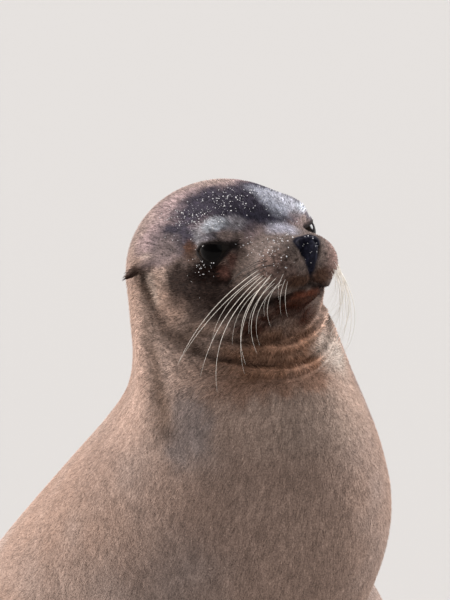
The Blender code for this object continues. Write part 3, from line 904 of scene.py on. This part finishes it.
def tube(spine, radii, sides=6):
    """Points and triangles of a tapered tube round a spine."""
    run = unit(np.gradient(spine, axis=0))
    across = unit(np.cross(run, (0.31, 0.22, 0.92)))
    angles = 2 * np.pi * np.arange(sides)[:, None] / sides
    ring = across[:, None] * np.cos(angles) + np.cross(run, across)[:, None] * np.sin(angles)
    points = (spine[:, None] + radii[:, None, None] * ring).reshape(-1, 3)
    k = np.arange(sides)
    following = (k + 1) % sides
    faces = []
    for a in range(0, len(points) - sides, sides):
        faces.append(np.stack([k, following, following + sides], 1) + a)
        faces.append(np.stack([k, following + sides, k + sides], 1) + a)
    caps = np.array([(0, i + 1, i) for i in range(1, sides - 1)])
    return points, np.vstack([*faces, caps, caps[:, (0, 2, 1)] + len(points) - sides])


def curve_through(root, middle, tip):
    """Places along a smooth bend from root to tip, and how far along each is."""
    t = np.linspace(0, 1, 15)
    first, second = lengths(middle - root), lengths(tip - middle)
    m = first / (first + second)
    bend = (middle - root * (1 - m) ** 2 - tip * m ** 2) / (2 * m * (1 - m))
    weights = np.stack([(1 - t) ** 2, 2 * t * (1 - t), t ** 2], 1)
    return weights @ np.stack([root, bend, tip]), t


def joined(name, parts):
    """One mesh of many small parts, given as points and triangles."""
    points, faces = zip(*parts)
    starts = np.cumsum([0] + [len(p) for p in points[:-1]])
    return mesh_from_arrays(name, np.vstack(points),
                            np.vstack([f + start for f, start in zip(faces, starts)]))


def make_whiskers(tree):
    for name, rows, (hang, drop), tint in (
            ("long_whiskers", LONG_WHISKERS, LONG_HANG, (0.94, 0.88, 0.80)),
            ("dark_whiskers", DARK_WHISKERS + BROW_HAIRS, DARK_HANG, (0.010, 0.007, 0.006))):
        shader = Shader(name)
        shader.set(Base_Color=tint, Roughness=0.35, Specular_IOR_Level=0.2)
        for side, label in ((1, "left"), (-1, "right")):
            rng = np.random.default_rng(11 + side)
            tubes = []
            for *path, thick in rows if side < 0 else rows + rows[2:len(rows) - 4]:
                path = np.array(path).reshape(3, 3) * MM
                if side > 0:
                    path[1:] *= hang
                    path[1:, 2] -= drop
                    path[1:] += rng.normal(0, 0.0022, (2, 3))
                path = out_of_head(path * (side, 1, 1))
                spot, facing = tree.find_nearest(Vector(path[0]))[:2]
                path[0] = np.array(spot - facing * ROOT_DEPTH)
                spine, t = curve_through(*path)
                tubes.append(tube(spine, WHISKER_RADIUS * thick * (1.0 - 0.80 * t ** 1.3)))
            mesh = joined(name + "_" + label, tubes)
            whiskers = add_piece(name + "_" + label, mesh, shader.material)
            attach(whiskers, "root")


# Each nail's length, and how far out it sits along the end of its finger or toe.
NAILS = {"finger": (0.0035, 0.80), "toe": (0.0075, 0.72)}


def make_nails(tree):
    """Small flat nails, set back from the ends of the fingers and of the three middle toes."""
    shader = Shader("dark_nail")
    shader.set(Base_Color=(0.030, 0.024, 0.022), Roughness=0.35, Specular_IOR_Level=0.3)
    nails = bmesh.new()
    for (kind, number), line in DIGIT_LINES.items():
        if kind == "toe" and number in (0, 4):
            continue
        length, share = NAILS[kind]
        for side in (1, -1):
            knuckle, tip = line[1:] * (side, 1, 1)
            hit, facing = tree.find_nearest(Vector(knuckle * (1 - share) + tip * share))[:2]
            way = Vector(tip - knuckle)
            way = (way - facing * way.dot(facing)).normalized()
            turn = Matrix((way, facing.cross(way), facing)).transposed().to_4x4()
            shape = Matrix.Diagonal((length, length * 0.5, 0.0016, 1))
            bmesh.ops.create_uvsphere(nails, u_segments=14, v_segments=8, radius=1.0,
                                      matrix=Matrix.Translation(hit) @ turn @ shape)
    mesh = mesh_from_work("nails", nails)
    mesh.shade_smooth()
    nails = add_piece("nails", mesh, shader.material)
    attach(nails, "root")


# Where dry sand has stuck, on either side: centre, spread and how many grains.
SAND = ((-30, 112, 64, 24, 26, 12, 80), (-4, 100, 60, 26, 26, 10, 50),
    (-58, 142, 48, 16, 28, 18, 90), (-50, 104, 44, 20, 18, 10, 26), (-62, 104, -2, 9, 14, 7, 20),
    (-66, 112, 2, 10, 14, 16, 14), (-22, 28, 14, 14, 18, 9, 40), (-30, 24, -4, 12, 16, 12, 30),
    (0, 6, 0, 9, 3, 12, 16), (-36, 60, 18, 12, 18, 12, 16), (10, 70, 34, 20, 22, 8, 18),
    (30, 110, 60, 22, 26, 12, 26))


def make_sand(tree):
    """Loose grains of pale sand, pressed into the coat of the crown, brow and muzzle."""
    rng = np.random.default_rng(23)
    ball = bmesh.new()
    bmesh.ops.create_icosphere(ball, subdivisions=1, radius=1.0)
    shape = np.array([v.co for v in ball.verts])
    faces = np.array([[v.index for v in f.verts] for f in ball.faces])
    ball.free()
    grains = []
    for x, y, z, *spread, count in SAND:
        for spot in (x, y, z) + rng.normal(0, 0.62, (count, 3)) * spread:
            hit, facing = tree.find_nearest(Vector(out_of_head(spot * MM)))[:2]
            size = 0.00028 + 0.00050 * rng.random() ** 2.4
            squash = 0.6 + 0.7 * rng.random(3)
            grains.append((np.array(hit + facing * 0.0012) + shape * squash * size, faces))
    shader = Shader("dry_sand")
    shader.set(Base_Color=(0.90, 0.90, 0.92), Roughness=0.6)
    sand = add_piece("sand_grains", joined("sand_grains", grains), shader.material)
    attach(sand, "root")


# ---- coat ----

# A tuft's points, as share of its length, place across and height in half widths, then its faces:
# bent tufts on the head, plain spikes on the body.
BENT_TUFT = (((0, -1, 0), (0, 1, 0), (0, 0, 1), (0.5, -0.8, 0), (0.5, 0.8, 0), (0.5, 0, 0.9),
              (1, 0, 0)),
             ((0, 2, 1), (0, 1, 4), (0, 4, 3), (1, 2, 5), (1, 5, 4), (2, 0, 3), (2, 3, 5),
              (3, 4, 6), (4, 5, 6), (5, 3, 6)))
PLAIN_TUFT = (((0, -1, 0), (0, 1, 0), (0, 0, 1), (1, 0, 0)),
              ((0, 2, 1), (0, 1, 3), (1, 2, 3), (2, 0, 3)))


def lie_of_coat(points, up):
    """The way the hair lies: back from the nose, down the neck and chest, back along the trunk."""
    local = into_head(points)
    head = on_head_weight(local)[:, None]
    from_nose = (local - (0.0, -0.03, -0.010)) * (1, 1, 0.55)
    from_nose[:, 1] = np.maximum(from_nose[:, 1], 0.02)
    face = unit(from_nose) @ HEAD_AXES.T
    side = np.sign(points[:, 0])
    low = 1 - ramp(points[:, 2], 0.10, 0.42)
    back = ramp(points[:, 1], -0.16, 0.10)
    body = np.stack([0.10 * side * (1 - back), 0.22 + 0.9 * back + 0.5 * low,
                     -1.0 + 0.75 * back * low + 0.25 * low], 1)
    limb = ramp(np.abs(points[:, 0]), 0.13, 0.20) * (1 - ramp(points[:, 2], 0.16, 0.30))
    level = np.full(len(points), 0.35)
    outward = np.stack([side, level, -level], 1)
    body = unit(body * (1 - limb[:, None]) + outward * limb[:, None])
    flow = face * head + body * (1 - head)
    return unit(flow - up * (flow * up).sum(1)[:, None])


def spread_roots(mesh, rng):
    """Roots over the skin, about evenly spread: corners, loops, barycentric weights and gaps."""
    mesh.calc_loop_triangles()
    corners = read(mesh.loop_triangles, "vertices", 3, np.int32)
    loops = read(mesh.loop_triangles, "loops", 3, np.int32)
    p = positions(mesh)[corners]
    area = 0.5 * lengths(np.cross(p[:, 1] - p[:, 0], p[:, 2] - p[:, 0]))
    local = into_head(p.mean(1))
    head = on_head_weight(local)
    front = ramp(-local[:, 1], -0.12, -0.05) * head
    gap = TUFT_GAP_BODY + (TUFT_GAP_HEAD - TUFT_GAP_BODY) * head
    gap += (TUFT_GAP_FACE - TUFT_GAP_HEAD) * front
    number = np.floor(area / gap ** 2 * 2.2 + rng.random(len(area))).astype(int)
    chosen = np.repeat(np.arange(len(area)), number)
    a, b = rng.random(len(chosen)), rng.random(len(chosen))
    a, b = np.where(a + b > 1, (1 - a, 1 - b), (a, b))
    weights = np.stack([1 - a - b, a, b], 1)
    roots = (p[chosen] * weights[:, :, None]).sum(1)
    # one root at most stays in each small cell
    order = rng.permutation(len(chosen))
    cell = np.floor(roots[order] / (gap[chosen][order] * 0.80)[:, None]).astype(np.int64)
    size_class = np.round(gap[chosen][order] * 20000).astype(np.int64)
    key = np.bitwise_xor.reduce(cell * (73856093, 19349663, 83492791), 1)
    key ^= size_class * 2654435761
    keep = order[np.sort(np.unique(key, return_index=True)[1])]
    face = chosen[keep]
    return corners[face], loops[face], weights[keep], gap[face]


def unwrap(mesh, thing):
    bpy.context.view_layer.objects.active = thing
    thing.select_set(True)
    mesh.uv_layers.new(name="OFBake")
    bpy.ops.object.mode_set(mode="EDIT")
    bpy.ops.mesh.select_all(action="SELECT")
    bpy.ops.uv.smart_project(angle_limit=math.radians(66), island_margin=0.002)
    bpy.ops.object.mode_set(mode="OBJECT")
    thing.select_set(False)


def coat_allowed(points, bare, rng):
    """Where hair grows: nowhere on the flippers, nose, lips' edge or eyes."""
    side = mirrored(into_head(points))
    free = rng.random(len(points)) > bare * 1.3
    free &= outside_nose(side) > 0.0008
    for eye in EYES:
        away, far, outside = over_eye(points, eye)
        free &= ~((far < 0.034) & (away[:, 2] > 0) & (outside < 0.0020))
    free &= path_distance(side, LINES["mouth"])[0] > 0.0022
    return free & (points[:, 2] > 0.004)


def plant_tufts(mesh, rng):
    """Each tuft's root, skin normal, place on the unwrap, and gap to the next."""
    corners, loops, weights, gap = spread_roots(mesh, rng)

    def blend(values, rows):
        return (values[rows] * weights[:, :, None]).sum(1)

    roots = blend(positions(mesh), corners)
    nap = unit(blend(normals(mesh), corners))
    place = blend(read(mesh.uv_layers["OFBake"].uv, "vector", 2), loops)
    bare = blend(read(mesh.attributes["bare"].data, "value")[:, None], corners)[:, 0]
    keep = coat_allowed(roots, bare, rng)
    return roots[keep], nap[keep], place[keep], gap[keep]


def tuft_mesh(name, tuft, roots, nap, place, flow, across, length, half, lift, shade):
    """Tufts of one form: a row of each table for each tuft."""
    points, faces = np.array(tuft[0], float), np.array(tuft[1])
    along, aside, height = points.T
    reach = length[:, None] * along
    rise = reach * (1.38 - 0.76 * along) * lift[:, None] - 0.0006 + 0.0014 * along
    rise += half[:, None] * 0.55 * height
    rows = (roots[:, None] + flow[:, None] * reach[..., None]
            + across[:, None] * (half[:, None] * aside)[..., None]
            + nap[:, None] * rise[..., None])
    starts = len(points) * np.arange(len(roots))
    triangles = (faces + starts[:, None, None]).reshape(-1, 3)
    piece = mesh_from_arrays(name, rows.reshape(-1, 3), triangles)
    tones = 0.80 + 0.40 * along + 0.05 * height       # darker roots, paler tips
    colour = (shade[:, None] * tones[:, None]).reshape(-1, 3)
    paint(piece, colour, np.zeros(len(colour)))
    patch = np.stack([aside, 2 * along - 1 + 0.35 * height], 1) * BAKE_PATCH / 2
    where = (place[:, None] + patch).reshape(-1, 2)[triangles.ravel()]
    write(piece.uv_layers.new(name="OFBake").uv, "vector", where)
    soft = unit(normals(piece) + 1.3 * np.repeat(nap, len(points), 0))
    piece.normals_split_custom_set_from_vertices(soft.tolist())
    return piece


def make_coat(skin):
    rng = np.random.default_rng(7)
    roots, nap, place, gap = plant_tufts(skin.data, rng)
    number = len(roots)
    head = on_head_weight(into_head(roots))
    flow = lie_of_coat(roots, nap)
    clump = (np.sin(roots @ (310, 170, 90)) + np.sin(roots @ (-120, 260, 210) + 1.3)) * 0.06
    yaw = (rng.normal(0, 0.13, number) + clump)[:, None]
    flow = flow * np.cos(yaw) + np.cross(nap, flow) * np.sin(yaw)
    across = np.cross(nap, flow)
    lift = np.sin(TUFT_LIFT * (0.7 + 0.6 * rng.random(number)))
    length = TUFT_LENGTH_BODY + (TUFT_LENGTH_HEAD - TUFT_LENGTH_BODY) * head
    length *= 0.75 + 0.5 * rng.random(number)
    length *= np.where(gap < 0.0020, 0.62, 1.0)        # shorter on the face
    half = gap * (0.15 - 0.03 * head)
    spread = 0.85 + 0.50 * head
    shade = markings(roots) * (1 + spread * (rng.random(number) - 0.5))[:, None]
    tables = (roots, nap, place, flow, across, length, half, lift, shade)
    material = fur_material("short_fur_tufts", on_skin=False)
    pieces = 0
    for group, tuft in ((head >= 0.5, BENT_TUFT), (head < 0.5, PLAIN_TUFT)):
        order = np.flatnonzero(group)
        order = order[np.argsort(roots[order, 1])]
        parts = math.ceil(len(order) * len(tuft[1]) / MOST_TRIANGLES)
        for chosen in np.array_split(order, parts):
            pieces += 1
            name = "coat_%02d" % pieces
            mesh = tuft_mesh(name, tuft, *(table[chosen] for table in tables))
            coat = add_piece(name, mesh, material)
            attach(coat, "root")


# ---- floor, light, camera ----

def make_stage():
    floor = bmesh.new()
    bmesh.ops.create_grid(floor, x_segments=2, y_segments=2, size=14.0)
    shader = Shader("pale_floor")
    shader.set(Base_Color=(0.46, 0.455, 0.45), Roughness=0.9, Specular_IOR_Level=0.1)
    floor = add_piece("floor", mesh_from_work("floor", floor), shader.material)


# Broad, distant, soft lights: the way to each, its strength, its spread in degrees, its colour.
LIGHTS = {"from_above_and_behind": ((0.35, 0.75, 1.1), 1.4, 40, (1.0, 0.97, 0.95)),
          "from_the_right": ((1.0, -0.30, 0.34), 4.8, 24, (1.0, 0.98, 0.97)),
          "from_the_left": ((-0.36, 1.05, 0.30), 6.0, 24, (1.0, 0.93, 0.88)),
          "soft_front": ((-0.2, -1.0, 0.9), 0.7, 70, (1.0, 0.97, 0.95))}


def make_lights():
    world = bpy.context.scene.world = bpy.data.worlds.new("studio")
    world.use_nodes = True
    sky = world.node_tree.nodes["Background"].inputs
    sky["Color"].default_value = (0.92, 0.95, 1.0, 1.0)
    sky["Strength"].default_value = 0.22
    for name, (way, strength, spread, colour) in LIGHTS.items():
        light = bpy.data.lights.new(name, "SUN")
        light.energy, light.angle, light.color = strength, math.radians(spread), colour
        link(name, light).rotation_euler = Vector(way).to_track_quat("Z", "Y").to_euler()


def make_camera():
    camera = link("camera", bpy.data.cameras.new("camera"))
    a, e = CAMERA_AZIMUTH, CAMERA_HEIGHT_ANGLE
    back = Vector((math.sin(a) * math.cos(e), -math.cos(a) * math.cos(e), math.sin(e)))
    camera.location = BETWEEN_EYES + VIEW_FROM_EYES + back * CAMERA_DISTANCE
    camera.rotation_euler = back.to_track_quat("Z", "Y").to_euler()
    lens = camera.data
    lens.sensor_width, lens.clip_end = 36.0, 60.0
    lens.lens = lens.sensor_width * CAMERA_DISTANCE / VIEW_HEIGHT
    bpy.context.scene.camera = camera


bpy.context.scene.view_settings.view_transform = "Standard"
make_camera()
make_lights()
make_stage()
skin = make_skin()
make_eyes()
skin_tree = surface_of(skin)
make_whiskers(skin_tree)
make_nails(skin_tree)
make_sand(skin_tree)
unwrap(skin.data, skin)
make_coat(skin)
